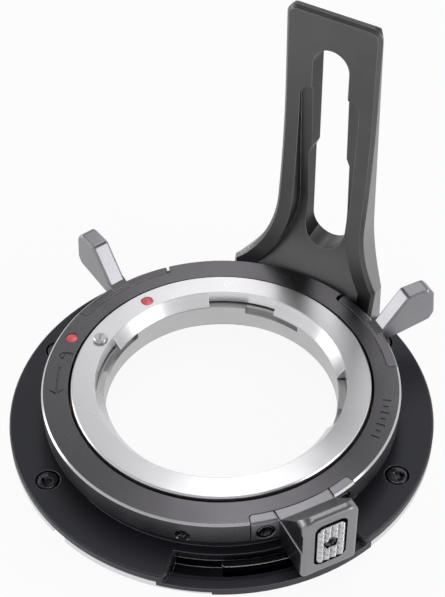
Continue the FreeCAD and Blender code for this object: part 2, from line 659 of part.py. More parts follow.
def wing(name):
    """Wing blade and the arc insert that it grows from, milled as one piece."""
    outline = [(RING_R + out, RING_TOP + rise) for out, rise in WING_OUTLINE]
    blade = bar_of(outline, WING_T)
    corners = []
    for edge in blade.Edges:
        box = edge.BoundBox
        if box.XLength < NEAR and box.ZLength < NEAR and box.XMin > RING_R + NEAR:
            corners.append(edge)
    blade = blade.makeFillet(WING_CORNER, corners)
    rim = []
    for edge in blade.Edges:
        box = edge.BoundBox
        if box.YLength < NEAR and box.XMax > RING_R + NEAR:
            rim.append(edge)
    blade = spin(blade.makeChamfer(WING_CHAMFER, rim), WING_AZ[name])
    insert = arc_insert(INSERT_IN_R, RING_R, INSERT_Z, RING_TOP,
                        WING_AZ[name] - INSERT_HALF_DEG, WING_AZ[name] + INSERT_HALF_DEG, INSERT_CORNER)
    insert = insert.makeChamfer(RING_CHAMFER, edges_at(insert, RING_TOP, RING_R))
    tools = []
    for az in wing_screw_angles(name):
        tools.append(radial(WING_SCREW["shank"] + PRESS_GAP, az, WING_SCREW_Z,
                            INSERT_IN_R - PAST, RING_R - WING_SCREW_COVER))
    return cut_all(insert.fuse(blade), tools).removeSplitter()


def wing_screws():
    """Screws from the ring's bore into the wing inserts, with their heads towards the axis."""
    start = RING_BORE_R + FIT_GAP
    length = RING_R - WING_SCREW_COVER - start - WING_SCREW["head_h"]
    bodies = []
    for name in WING_AZ:
        for az in wing_screw_angles(name):
            body = screw(WING_SCREW, length)
            body.rotate(CENTRE, UP, 180)
            body.translate(vec(start, 0, WING_SCREW_Z))
            bodies.append(spin(body, az))
    return Part.makeCompound(bodies)


def tab_screw_angles():
    return [BLOCK_AZ - TAB_SCREW_DEG, BLOCK_AZ + TAB_SCREW_DEG]


def block_body():
    """Solid block: a ramp from the ring's edge up to a ridge behind the upright front face."""
    root = TAB_IN_R + FIT_GAP
    outline = [
        (root, RING_TOP),
        (RING_R, RING_TOP),
        (BLOCK_FACE - BLOCK_RIDGE, BLOCK_TOP_Z),
        (BLOCK_FACE, BLOCK_TOP_Z),
        (BLOCK_FACE, BLOCK_Z),
        (RECESS_IN_R, BLOCK_Z),
        (RECESS_IN_R, RING_Z),
        (root, RING_Z),
    ]
    frame = Part.makeBox(BLOCK_FACE - root, BLOCK_W, BLOCK_TOP_Z - BLOCK_Z, vec(root, -BLOCK_W / 2, BLOCK_Z))
    frame = frame.makeFillet(BLOCK_TOP_ROUND, long_edges(frame, BLOCK_TOP_Z, BLOCK_TOP_Z))
    frame = frame.makeFillet(BLOCK_LOW_ROUND, long_edges(frame, BLOCK_Z, BLOCK_Z))
    block = bar_of(outline, BLOCK_W).common(frame).removeSplitter()
    front = [edge for edge in block.Edges if edge.BoundBox.XMin > BLOCK_FACE - NEAR]
    return block.makeFillet(BLOCK_FRONT_ROUND, front)


def plunger_slot():
    """Space under the block for the plunger's post and tooth over their whole travel."""
    inward = BUTTON_TRAVEL + TOOTH_GAP
    far = POST_OUT + TOOTH_GAP
    outline = [
        (TOOTH_IN - inward, BLOCK_Z - PAST),
        (far, BLOCK_Z - PAST),
        (far, WELL_Z),
        (STEM_IN - inward, WELL_Z),
        (STEM_IN - inward, TOOTH_TOP + TOOTH_GAP),
        (TOOTH_IN - inward, TOOTH_TOP + TOOTH_GAP),
    ]
    bore = radial(STEM_R + STEM_GAP, 0, WELL_Z, STEM_IN - inward, WELL_FLOOR)
    return bar_of(outline, TOOTH_W + 2 * TOOTH_GAP).fuse(bore)


def release_housing():
    """Latch block with two tabs that sit in the ring's wall, a button well and a plunger bore."""
    tabs = arc_insert(TAB_IN_R, TAB_R, RING_Z, RING_TOP, -TAB_HALF_DEG, TAB_HALF_DEG, TAB_CORNER)
    tabs = tabs.makeChamfer(RING_CHAMFER, edges_at(tabs, RING_TOP, TAB_R))
    spring_r = SPRING_MEAN_R + SPRING_WIRE_W / 2 + FIT_GAP
    seat = TAB_R - SINK - TAB_SCREW["head_h"]
    tools = [plunger_slot(), radial(spring_r, 0, WELL_Z, SPRING_SEAT, WELL_FLOOR)]
    tools.append(rounded_box(WELL_W, WELL_H, WELL_FLOOR, BLOCK_FACE + PAST, WELL_Z, WELL_ROUND))
    for side in (-1, 1):
        groove_y = side * BLOCK_W / 2 - TAB_GROOVE_W / 2
        tools.append(Part.makeBox(TAB_R, TAB_GROOVE_W, RING_H,
                                  vec(TAB_IN_R - PAST, groove_y, RING_TOP - TAB_GROOVE_DEPTH)))
        az = side * TAB_SCREW_DEG
        tools.append(radial(TAB_SCREW["head"] + FIT_GAP, az, TAB_SCREW_Z, seat, TAB_R + TAB_SCREW["head"]))
        tools.append(radial(TAB_SCREW["shank"] + PRESS_GAP, az, TAB_SCREW_Z, TAB_IN_R - PAST, seat))
    return spin(cut_all(block_body().fuse(tabs), tools).removeSplitter(), BLOCK_AZ)


def housing_screws():
    out = TAB_R - SINK
    length = out - TAB_SCREW["head_h"] - RING_BORE_R - TAB_SCREW_COVER
    bodies = [radial_screw(TAB_SCREW, length, az, TAB_SCREW_Z, out) for az in tab_screw_angles()]
    return Part.makeCompound(bodies)


def pyramid(y, z, width, height):
    """Four-sided pyramid on the button's front, sunk a little so that it joins the button."""
    base = [vec(BUTTON_FRONT - SINK, y + sy * width / 2, z + sz * height / 2) for sy, sz in SQUARE]
    tip = vec(BUTTON_FRONT + PYRAMID_H, y, z)
    faces = [face_of(base)]
    for first, second in zip(base, base[1:] + base[:1]):
        faces.append(face_of([first, second, tip]))
    return Part.makeSolid(Part.makeShell(faces))


def release_button():
    """Push button with rows of small pyramids on its face and a sunk screw in its middle."""
    width = WELL_W - 2 * BUTTON_GAP
    height = WELL_H - 2 * BUTTON_END_GAP
    body = rounded_box(width, height, BUTTON_BACK, BUTTON_FRONT, WELL_Z, BUTTON_ROUND)
    outline = rounded_box(width, height, BUTTON_BACK, BUTTON_FRONT + PYRAMID_H, WELL_Z, BUTTON_ROUND)
    pitch_y = width / PYRAMID_COLS
    pitch_z = height / PYRAMID_ROWS
    points = []
    for col in range(PYRAMID_COLS):
        for row in range(PYRAMID_ROWS):
            y = (col + 0.5) * pitch_y - width / 2
            z = WELL_Z + (row + 0.5) * pitch_z - height / 2
            points.append(pyramid(y, z, pitch_y * PYRAMID_FILL, pitch_z * PYRAMID_FILL))
    seat = BUTTON_FRONT - BUTTON_SCREW["head_h"]
    tools = [radial(BUTTON_SCREW["head"] + FIT_GAP, 0, WELL_Z, seat, BUTTON_FRONT + PYRAMID_H)]
    tools.append(radial(BUTTON_SCREW["shank"] + PRESS_GAP, 0, WELL_Z, BUTTON_BACK, seat))
    return spin(cut_all(body.fuse(points).common(outline), tools).removeSplitter(), BLOCK_AZ)


def latch_plunger():
    """Stem behind the button, with a post and a tooth that hangs down to the strike rail's level."""
    bridge_low = TOOTH_TOP - TOOTH_BRIDGE_H
    outline = [
        (TOOTH_IN, BLOCK_Z),
        (TOOTH_OUT, BLOCK_Z),
        (TOOTH_OUT, bridge_low),
        (POST_OUT, bridge_low),
        (POST_OUT, WELL_Z),
        (STEM_IN, WELL_Z),
        (STEM_IN, TOOTH_TOP),
        (TOOTH_IN, TOOTH_TOP),
    ]
    stem = radial(STEM_R, 0, WELL_Z, STEM_IN, BUTTON_BACK)
    hole = radial(BUTTON_SCREW["shank"] + PRESS_GAP, 0, WELL_Z, BUTTON_SCREW_IN, BUTTON_BACK)
    return spin(bar_of(outline, TOOTH_W).fuse(stem).cut(hole).removeSplitter(), BLOCK_AZ)


def button_screw():
    length = BUTTON_FRONT - BUTTON_SCREW["head_h"] - BUTTON_SCREW_IN
    return radial_screw(BUTTON_SCREW, length, BLOCK_AZ, WELL_Z, BUTTON_FRONT)


def button_spring():
    """Compression spring of flat wire between its seat in the block and the back of the button."""
    start = SPRING_SEAT + SPRING_WIRE_T / 2 + PRESS_GAP
    length = BUTTON_BACK - SPRING_WIRE_T / 2 - PRESS_GAP - start
    helix = Part.makeHelix(length / SPRING_TURNS, length, SPRING_MEAN_R)
    section = []
    for sx, sz in SQUARE:
        section.append(vec(SPRING_MEAN_R + sx * SPRING_WIRE_W / 2, 0, sz * SPRING_WIRE_T / 2))
    coil = Part.Wire(helix).makePipeShell([Part.makePolygon(section + section[:1])], True, True)
    coil.rotate(CENTRE, vec(0, 1, 0), 90)
    coil.translate(vec(start, 0, WELL_Z))
    return spin(coil, BLOCK_AZ)


def clamp_ring():
    """Inner ring that turns with the lock ring and draws the lens lobes down."""
    body = tube(CLAMP_BORE_R, CLAMP_R, CLAMP_Z, CLAMP_TOP)
    half = CLAMP_NOTCH_DEG / 2
    tools = []
    for k in range(CUTOUT_COUNT):
        middle = CUTOUT_AZ - LOCK_TRAVEL_DEG / 2 + 360.0 * k / CUTOUT_COUNT
        tools.append(sector(CLAMP_BORE_R - PAST, CLAMP_BORE_R + CLAMP_NOTCH_W,
                            CLAMP_TOP - CLAMP_NOTCH_H, CLAMP_TOP + PAST, middle - half, middle + half))
    for az in DRIVE_SCREW_AZ:
        tools.append(radial(DRIVE_SCREW["shank"] + PRESS_GAP, az, DRIVE_Z, DRIVE_SCREW_IN, CLAMP_R + PAST))
    return cut_all(body, tools)


def drive_screws():
    """Screws that carry the lock ring's turn through the slots in the neck to the clamp ring."""
    out = RING_R - DRIVE_SCREW_SINK
    length = out - DRIVE_SCREW["head_h"] - DRIVE_SCREW_IN
    return Part.makeCompound([radial_screw(DRIVE_SCREW, length, az, DRIVE_Z, out) for az in DRIVE_SCREW_AZ])


def strike_rail():
    body = sector(RAIL_IN_R, RAIL_R, RECESS_FLOOR_Z, RAIL_TOP, *RAIL_AZ)
    ends = [edge for edge in body.Edges if edge.BoundBox.ZLength > (RAIL_TOP - RECESS_FLOOR_Z) / 2]
    body = body.makeFillet(RAIL_T / 3, ends)
    holes = [upright(RAIL_PIN_R + PRESS_GAP, at, RECESS_FLOOR_Z, RAIL_PIN_TOP) for at in RAIL_PIN_AT]
    return cut_all(body, holes)


def rail_pins():
    return Part.makeCompound([upright(RAIL_PIN_R, at, SINK, RAIL_PIN_TOP) for at in RAIL_PIN_AT])


def arm_outline(inset, top):
    """Front outline of the arm in X and Z, or one set in from it: a strip that flares out to its foot."""
    half_w = ARM_HALF_W - inset
    flare_r = ARM_FLARE_R + inset
    centre_x = half_w + flare_r
    bend = ARM_CORNER_R * (1 - math.sqrt(0.5))
    edges = []
    for side, foot_w in zip((-1, 1), ARM_FOOT_W):
        foot_x = foot_w - inset
        flare_turn = math.acos((centre_x - foot_x) / flare_r)
        path = []
        for share in (1.0, 0.5, 0.0):
            x = centre_x - flare_r * math.cos(share * flare_turn)
            path.append(vec(side * x, 0, ARM_BEND_Z - flare_r * math.sin(share * flare_turn)))
        neck = vec(side * half_w, 0, top - ARM_CORNER_R)
        crown = vec(side * (half_w - ARM_CORNER_R), 0, top)
        edges.append(Part.LineSegment(vec(0, 0, FLANGE_TOP), vec(side * foot_x, 0, FLANGE_TOP)))
        edges.append(Part.LineSegment(vec(side * foot_x, 0, FLANGE_TOP), path[0]))
        edges.append(Part.Arc(*path))
        edges.append(Part.LineSegment(path[2], neck))
        edges.append(Part.Arc(neck, vec(side * (half_w - bend), 0, top - bend), crown))
        edges.append(Part.LineSegment(crown, vec(0, 0, top)))
    return Part.Face(Part.Wire(Part.__sortEdges__([edge.toShape() for edge in edges])))


def arm_side(front_y, sweep_z, sweep_r):
    """Bar across X with the arm's side outline: upright above, and swept forward to the flange below."""
    turn = math.asin((sweep_z - FLANGE_TOP) / sweep_r)
    path = []
    for share in (0.0, 0.5, 1.0):
        forward = sweep_r * (1 - math.cos(share * turn))
        path.append(vec(0, front_y - forward, sweep_z - sweep_r * math.sin(share * turn)))
    corners = [
        path[2],
        vec(0, ARM_BACK_Y, FLANGE_TOP),
        vec(0, ARM_BACK_Y, ARM_TOP_Z - ARM_T + ARM_TOP_T),
        vec(0, ARM_FRONT_Y + ARM_TOP_T, ARM_TOP_Z),
        vec(0, ARM_FRONT_Y, ARM_TOP_Z),
        path[0],
    ]
    edges = [Part.LineSegment(first, second).toShape() for first, second in zip(corners, corners[1:])]
    edges.append(Part.Arc(*path).toShape())
    reach = max(ARM_FOOT_W) + PAST
    bar = Part.Face(Part.Wire(edges)).extrude(vec(2 * reach, 0, 0))
    bar.translate(vec(-reach, 0, 0))
    return bar


def back_corner(side):
    """Wedge that slants the arm's back at one side, less and less towards the flange."""
    far_x = max(ARM_FOOT_W) + PAST
    far_y = ARM_BACK_Y + PAST
    top_sum = ARM_HALF_W + ARM_FRONT_Y + ARM_SIDE_T
    ends = []
    for z, reach in ((ARM_TOP_Z, top_sum), (FLANGE_TOP, top_sum + ARM_SIDE_SPREAD)):
        corners = [(far_x, reach - far_x), (far_x, far_y), (reach - far_y, far_y)]
        points = [vec(side * x, y, z) for x, y in corners]
        ends.append(Part.makePolygon(points + points[:1]))
    return Part.makeLoft(ends, True, True)


def arm_slot():
    """Long slot with a narrower upper part for the support screw."""
    depth = ARM_BACK_Y + PAST
    top_z = SLOT_TOP_Z - SLOT_HALF_W
    low_z = SLOT_BOTTOM_Z + SLOT_WIDE_HALF_W
    shoulder_z = SLOT_STEP_Z - SLOT_SHOULDER_H
    half = [
        (SLOT_HALF_W, top_z),
        (SLOT_HALF_W, SLOT_STEP_Z),
        (SLOT_WIDE_HALF_W, shoulder_z),
        (SLOT_WIDE_HALF_W, low_z),
    ]
    outline = half + [(-x, z) for x, z in reversed(half)]
    straight = face_of([vec(x, 0, z) for x, z in outline]).extrude(vec(0, depth, 0))
    cap = Part.makeCylinder(SLOT_HALF_W, depth, vec(0, 0, top_z), vec(0, 1, 0))
    bed = Part.makeCylinder(SLOT_WIDE_HALF_W, depth, vec(0, 0, low_z), vec(0, 1, 0))
    return straight.fuse([cap, bed]).removeSplitter()


def arm_body():
    """Arm without its pocket and slot: front and side outlines crossed, front edges broken, back slanted."""
    front = arm_outline(0, ARM_TOP_Z)
    side = arm_side(ARM_FRONT_Y, ARM_SWEEP_Z, ARM_SWEEP_R)
    body = front.extrude(vec(0, ARM_BACK_Y + PAST, 0)).common(side).removeSplitter()
    rim = []
    for edge in body.Edges:
        box = edge.BoundBox
        in_front = box.YMax < ARM_FRONT_Y + NEAR and box.ZMax > FLANGE_TOP + NEAR
        seam = box.ZLength < NEAR and abs(box.ZMin - ARM_SWEEP_Z) < NEAR
        if in_front and not seam:
            rim.append(edge)
    return cut_all(body.makeChamfer(ARM_CHAMFER, rim), [back_corner(-1), back_corner(1)])


def support_arm():
    pocket = arm_outline(RIB_W, POCKET_TOP_Z)
    web = arm_side(ARM_FRONT_Y + RIB_RISE, ARM_BEND_Z, WEB_SWEEP_R)
    pocket = pocket.extrude(vec(0, ARM_BACK_Y, 0)).cut(web)
    tools = [pocket, arm_slot(), disc(RING_R + ARM_RING_GAP, FLANGE_TOP, ARM_TOP_Z)]
    for at in ARM_SCREW_AT:
        tools.append(upright(ARM_SCREW["shank"] + PRESS_GAP, at, FLANGE_TOP, ARM_SCREW_TOP))
    return cut_all(arm_body(), tools).removeSplitter()


def arm_screws():
    length = ARM_SCREW_TOP - SINK - ARM_SCREW["head_h"]
    bodies = [upright_screw(ARM_SCREW, length, at, SINK, head_up=False) for at in ARM_SCREW_AT]
    return Part.makeCompound(bodies)


def write(name, shape):
    shape.exportStep(os.path.join("parts", name + ".step"))
    state = "valid" if shape.isValid() else "INVALID"
    print(name, len(shape.Solids), "solids", round(shape.Volume, 1), "mm3", state)


os.makedirs("parts", exist_ok=True)
write("camera_ring", camera_ring())
write("base_flange", base_flange())
write("flange_screws", flange_screws())
write("glide_ring", glide_ring())
write("flange_shim", flange_shim())
write("bayonet_plate", bayonet_plate())
write("plate_screws", plate_screws())
write("index_pin", index_pin())
write("lens_index_dot", enamel_dot(LENS_DOT_AT, FACE_Z))
write("support_arm", support_arm())
write("arm_screws", arm_screws())
write("strike_rail", strike_rail())
write("rail_pins", rail_pins())
write("lock_ring", lock_ring())
write("lock_index_dot", enamel_dot(LOCK_DOT_AT, RING_TOP))
for wing_name in WING_AZ:
    write(wing_name, wing(wing_name))
write("wing_screws", wing_screws())
write("release_housing", release_housing())
write("housing_screws", housing_screws())
write("clamp_ring", clamp_ring())
write("drive_screws", drive_screws())
write("button_spring", button_spring())
write("release_button", release_button())
write("button_screw", button_screw())
write("latch_plunger", latch_plunger())
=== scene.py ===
# %% [markdown]
# # A lens mount unit, finished in Blender
#
# The object is the front mount of a camera: a silver lens seat inside a dark lock ring with two wings,
# a latch block with a push button, a black flange on a silver rim, and a slotted arm behind the ring.
# Every piece already exists as an exact solid. This lesson sets up the studio, gives the solids their
# finishes, makes the screws and the enamel dots anew with finer edges, and gives the button's spring a
# mesh of its own. The solids could have been modelled again by hand, but then nothing would fit, so they
# are loaded and kept where they are.

# %% Load the solids
import bmesh
import bpy
import math
from mathutils import Matrix, Vector


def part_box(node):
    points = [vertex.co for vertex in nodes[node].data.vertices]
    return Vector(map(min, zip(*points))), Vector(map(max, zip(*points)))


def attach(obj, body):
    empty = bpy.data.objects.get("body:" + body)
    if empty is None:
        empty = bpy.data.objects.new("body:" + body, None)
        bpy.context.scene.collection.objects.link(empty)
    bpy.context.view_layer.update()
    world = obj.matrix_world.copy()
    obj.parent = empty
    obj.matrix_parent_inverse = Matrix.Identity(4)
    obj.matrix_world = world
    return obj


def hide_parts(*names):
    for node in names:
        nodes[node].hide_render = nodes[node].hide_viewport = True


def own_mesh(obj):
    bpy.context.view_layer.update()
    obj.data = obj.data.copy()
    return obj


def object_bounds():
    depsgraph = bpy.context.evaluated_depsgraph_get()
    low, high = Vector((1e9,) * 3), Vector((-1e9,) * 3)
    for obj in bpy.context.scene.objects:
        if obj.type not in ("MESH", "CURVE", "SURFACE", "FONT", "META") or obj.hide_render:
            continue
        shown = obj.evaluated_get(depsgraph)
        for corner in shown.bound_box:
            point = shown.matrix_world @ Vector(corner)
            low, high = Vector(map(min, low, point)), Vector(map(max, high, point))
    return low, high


MM = 0.001
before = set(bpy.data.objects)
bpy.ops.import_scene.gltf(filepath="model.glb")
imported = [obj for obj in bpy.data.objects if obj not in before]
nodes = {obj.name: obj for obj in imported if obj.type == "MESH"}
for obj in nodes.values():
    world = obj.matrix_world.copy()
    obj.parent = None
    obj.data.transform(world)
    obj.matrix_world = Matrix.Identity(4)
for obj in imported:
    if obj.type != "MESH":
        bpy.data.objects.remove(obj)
cad_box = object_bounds()
scene = bpy.context.scene
scene.view_settings.view_transform = "Standard"
print("box in mm", [[round(v / MM, 2) for v in corner] for corner in cad_box])

# %% [markdown]
# ## The camera
#
# The photograph was taken from in front and above, with a fairly long lens. Its focal length, height and
# tilt were worked out from the round edges, which show as ellipses. A camera can be aimed with a
# constraint or by hand, but a matrix built from the measured angles puts every edge where it belongs.

# %% Camera
PHOTO_HEIGHT_PX = 597
FOCAL_PX = 1500
SENSOR_MM = 36.0
VIEW_TURN = 32.5          # degrees about +Z between the view and the arm's front
EYE_ELEVATION = 47.22     # degrees above the silver face
EYE_DISTANCE = 262.1      # mm from the middle of the silver face
TILT_DOWN = 44.15         # degrees
YAW = 0.14                # degrees, as is the roll
ROLL = -0.70

face_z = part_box("bayonet_plate")[1].z
elevation = math.radians(EYE_ELEVATION)
turn = Matrix.Rotation(math.radians(VIEW_TURN), 4, "Z")
eye = turn @ Vector((0, -math.cos(elevation), math.sin(elevation))) * EYE_DISTANCE * MM
eye.z += face_z
aim = Matrix.Rotation(math.radians(VIEW_TURN - YAW), 4, "Z")
aim = aim @ Matrix.Rotation(math.radians(90 - TILT_DOWN), 4, "X")
aim = aim @ Matrix.Rotation(math.radians(ROLL), 4, "Z")

lens = bpy.data.cameras.new("photo_camera")
lens.sensor_fit = "VERTICAL"
lens.sensor_height = SENSOR_MM
lens.lens = FOCAL_PX * SENSOR_MM / PHOTO_HEIGHT_PX
lens.clip_start = MM
camera = bpy.data.objects.new("photo_camera", lens)
camera.matrix_world = Matrix.Translation(eye) @ aim
scene.collection.objects.link(camera)
scene.camera = camera
print("camera at", [round(v / MM, 1) for v in eye], "mm, lens", round(lens.lens, 2), "mm")

# %% [markdown]
# ## Helpers for node trees
#
# Finishes, the studio and the screws are all node trees. One small function adds a node, sets it and
# links it, so a tree reads like a list of its nodes, and three more do the sums that come up everywhere.
# Colours are written as sRGB hex values, as a paint chart would give them, and turned to the linear values
# that the renderer works in.


# %% Helpers
def empty_tree(holder):
    """Node tree of a material or a world, without its standard nodes."""
    holder.use_nodes = True
    holder.node_tree.nodes.clear()
    return holder.node_tree


def fill(tree, node, inputs):
    """Links or sets a node's inputs, by name or number."""
    for key, value in inputs.items():
        if isinstance(value, bpy.types.NodeSocket):
            tree.links.new(value, node.inputs[key])
        else:
            node.inputs[key].default_value = value


def add(tree, kind, inputs=None, **settings):
    """Adds a node with its properties and inputs."""
    node = tree.nodes.new(kind)
    for name, value in settings.items():
        setattr(node, name, value)
    fill(tree, node, inputs or {})
    return node


def maths(tree, operation, first, second=0.0, **settings):
    """Result of one sum."""
    return add(tree, "ShaderNodeMath", {0: first, 1: second}, operation=operation, **settings).outputs[0]


def part_of(tree, vector, axis):
    """X, Y or Z of a vector."""
    return add(tree, "ShaderNodeSeparateXYZ", {0: vector}).outputs[axis]


def ranged(tree, value, ends, low, high, **settings):
    """Goes from low to high while a value goes from one end to the other."""
    span = {"Value": value, "From Min": ends[0], "From Max": ends[1], "To Min": low, "To Max": high}
    return add(tree, "ShaderNodeMapRange", span, **settings).outputs[0]


def linear(hex_colour):
    """Linear RGBA of an sRGB hex value."""
    channels = [int(hex_colour[k:k + 2], 16) / 255 for k in (1, 3, 5)]
    return [c / 12.92 if c <= 0.04045 else ((c + 0.055) / 1.055) ** 2.4 for c in channels] + [1.0]


# %% [markdown]
# ## The studio
#
# A small metal part is photographed on white paper under a large softbox, with white all round and a
# darker ceiling. The dark part matters: turned metal shows nothing but its surroundings, and a room that
# is white everywhere would leave it flat. An image of a studio could light the scene, but a world that
# fades with height and three soft lamps do the same with a few numbers.

# %% Studio
HORIZON_GLOW = 1.0
CEILING_GLOW = 0.30
GLOW_FADE = (0.30, 0.72)   # sine of the height where the white stops and where the ceiling starts
PAPER_RADIUS = 2.0         # m
PAPER_SIDES = 96
PAPER_DROP = 0.02 * MM     # paper just below the lowest face
PAPER_WHITE = 0.92         # share of the paper that is seen as plain white
LAMP_DISTANCE = 0.8        # m from the middle of the silver face
LAMP_POWER = 4             # watts per square metre of a lamp whose brightness is 1
WHITE = (1, 1, 1, 1)

world = bpy.data.worlds.new("white_room")
scene.world = world
tree = empty_tree(world)
direction = add(tree, "ShaderNodeTexCoord").outputs["Generated"]
glow = ranged(tree, part_of(tree, direction, "Z"), GLOW_FADE, HORIZON_GLOW, CEILING_GLOW,
              interpolation_type="SMOOTHSTEP")
room = add(tree, "ShaderNodeBackground", {"Color": WHITE, "Strength": glow})
add(tree, "ShaderNodeOutputWorld", {"Surface": room.outputs[0]})

paper = bpy.data.materials.new("white_paper")
tree = empty_tree(paper)
path = add(tree, "ShaderNodeLightPath").outputs
seen = maths(tree, "MAXIMUM", path["Is Camera Ray"], path["Is Glossy Ray"])
seen = maths(tree, "MAXIMUM", seen, path["Is Transmission Ray"])
share = maths(tree, "MULTIPLY", seen, PAPER_WHITE)
matt = add(tree, "ShaderNodeBsdfDiffuse", {"Color": linear("#f4f4f4")})
white = add(tree, "ShaderNodeEmission", {"Color": WHITE, "Strength": 1.0})
sheet = add(tree, "ShaderNodeMixShader", {0: share, 1: matt.outputs[0], 2: white.outputs[0]})
add(tree, "ShaderNodeOutputMaterial", {"Surface": sheet.outputs[0]})

disc = bmesh.new()
bmesh.ops.create_circle(disc, cap_ends=True, segments=PAPER_SIDES, radius=PAPER_RADIUS)
bmesh.ops.translate(disc, verts=disc.verts, vec=(0, 0, cad_box[0][2] - PAPER_DROP))
floor_mesh = bpy.data.meshes.new("paper_floor")
disc.to_mesh(floor_mesh)
disc.free()
floor_mesh.materials.append(paper)
floor = bpy.data.objects.new("paper_floor", floor_mesh)
scene.collection.objects.link(floor)


def softbox(name, turned, elevation, size, brightness):
    """Soft lamp that faces the object, turned from the camera's side. Angles in degrees, sizes in metres."""
    lamp = bpy.data.lights.new(name, "AREA")
    lamp.shape = "RECTANGLE"
    lamp.size, lamp.size_y = size
    lamp.energy = LAMP_POWER * size[0] * size[1] * brightness
    holder = bpy.data.objects.new(name, lamp)
    az, el = math.radians(VIEW_TURN - 90 + turned), math.radians(elevation)
    out = Vector((math.cos(el) * math.cos(az), math.cos(el) * math.sin(az), math.sin(el)))
    centre = Vector((0, 0, face_z))
    facing = out.to_track_quat("Z", "Y").to_matrix().to_4x4()
    holder.matrix_world = Matrix.Translation(centre + out * LAMP_DISTANCE) @ facing
    scene.collection.objects.link(holder)


softbox("back_strip", turned=175, elevation=74, size=(0.2, 1.0), brightness=1.5)
softbox("left_box", turned=-106, elevation=10, size=(0.35, 0.30), brightness=2.4)
softbox("right_box", turned=67, elevation=22, size=(0.35, 0.30), brightness=3.0)

# %% [markdown]
# ## Turned metal: the lens seat, the camera ring and the lock ring
#
# The silver rings are hard-chromed and the lock ring is anodised grey, and all of them were turned on a
# lathe. The tool leaves fine circles, so the light is drawn out across them into bright and grey sweeps from
# the middle outwards. The circles could be cut into the mesh, but they are finer than a pixel: a shader
# with a direction of roughness does it, and a noise over the radius varies it from circle to circle.

# %% Turned metal
NOISE_SPAN = (0.3, 0.7)    # most values of a noise lie between these
NOISE_DETAIL = 3.0
EDGE_ROUND = 0.18          # mm, broken edges, seen as thin glints
EDGE_ALIKE = (0.99, 0.85)  # likeness of the rounded and the plain normal, where an edge starts and is full
TURNED_PITCH = 0.22        # mm, lathe circles, about five times as coarse as real ones so that they show
TURNED_BUMP = (0.06, 0.02)   # strength, and depth in mm
TURNED_CLOUD = 7           # mm, patches of uneven gloss
TURNED_GLOSS = (0.9, 1.12)   # share of the roughness where it is least and most
QUARTER_TURN = 0.25


def start_finish(name):
    """New material with an empty tree, and its Object coordinates."""
    material = bpy.data.materials.new(name)
    tree = empty_tree(material)
    return material, tree, add(tree, "ShaderNodeTexCoord").outputs["Object"]


def shaded(material, tree, inputs):
    """Ends a finish with its surface shader."""
    surface = add(tree, "ShaderNodeBsdfPrincipled", inputs)
    add(tree, "ShaderNodeOutputMaterial", {"Surface": surface.outputs[0]})
    return material


def blotches(tree, place, size):
    """Soft noise whose spots are about that many millimetres across."""
    spots = {"Vector": place, "Scale": 1 / (size * MM), "Detail": NOISE_DETAIL}
    return add(tree, "ShaderNodeTexNoise", spots).outputs["Fac"]


def uneven(tree, noise, rough, shares):
    """Roughness that a noise leads from one share of its value to another."""
    return ranged(tree, noise, NOISE_SPAN, rough * shares[0], rough * shares[1])


def bumped(tree, noise, bump, normal=None):
    """Normal bent by a noise, with a strength and a depth in mm."""
    bends = {"Height": noise, "Strength": bump[0], "Distance": bump[1] * MM}
    if normal:
        bends["Normal"] = normal
    return add(tree, "ShaderNodeBump", bends).outputs[0]


def blended(tree, share, first, second):
    """Colour that changes from the first to the second as a share goes from 0 to 1."""
    return add(tree, "ShaderNodeMix", {"Factor": share, 6: first, 7: second}, data_type="RGBA").outputs[2]


def two_tones(tree, noise, dark, light):
    """Colour between two hex values, led by a noise."""
    return blended(tree, ranged(tree, noise, NOISE_SPAN, 0, 1), linear(dark), linear(light))


def near(tree, value, target, margin):
    """1 where a value lies within a margin of a target, and 0 elsewhere."""
    return add(tree, "ShaderNodeMath", {0: value, 1: target, 2: margin}, operation="COMPARE").outputs[0]


def pointing(tree, axis):
    """Share of a face's direction that lies along an axis."""
    return part_of(tree, add(tree, "ShaderNodeNewGeometry").outputs["True Normal"], axis)


def axis_distance(tree, place):
    """Distance from the optical axis."""
    flat = add(tree, "ShaderNodeVectorMath", {0: place, 1: (1, 1, 0)}, operation="MULTIPLY").outputs[0]
    return add(tree, "ShaderNodeVectorMath", {0: flat}, operation="LENGTH").outputs["Value"]


def broken_edges(tree):
    """Normal rounded at the edges, and a share that is 1 on an edge and 0 on a flat face."""
    rounded = add(tree, "ShaderNodeBevel", {"Radius": EDGE_ROUND * MM}, samples=6).outputs[0]
    plain = add(tree, "ShaderNodeNewGeometry").outputs["Normal"]
    alike = add(tree, "ShaderNodeVectorMath", {0: rounded, 1: plain}, operation="DOT_PRODUCT")
    return rounded, ranged(tree, alike.outputs["Value"], EDGE_ALIKE, 0, 1)


def turned_finish(name, light, dark, rough, stretch, patch=None):
    """Lathe-turned metal: sweeps of light across fine circles, each a little brighter or darker."""
    material, tree, place = start_finish(name)
    lathe = {"W": axis_distance(tree, place), "Scale": 1 / (TURNED_PITCH * MM), "Detail": NOISE_DETAIL}
    circles = add(tree, "ShaderNodeTexNoise", lathe, noise_dimensions="1D").outputs["Fac"]
    colour = two_tones(tree, circles, dark, light)
    if patch:
        colour = patch(tree, place, colour)
    rounded, _ = broken_edges(tree)
    around = add(tree, "ShaderNodeTangent", direction_type="RADIAL", axis="Z").outputs[0]
    return shaded(material, tree, {
        "Base Color": colour, "Metallic": 1.0, "Anisotropic": stretch, "Anisotropic Rotation": QUARTER_TURN,
        "Roughness": uneven(tree, blotches(tree, place, TURNED_CLOUD), rough, TURNED_GLOSS),
        "Normal": bumped(tree, circles, TURNED_BUMP, rounded), "Tangent": around})


CHAMFER_SLOPE = math.sqrt(0.5)   # upward share of a face cut at 45 degrees
CHAMFER_MARGIN = 0.1


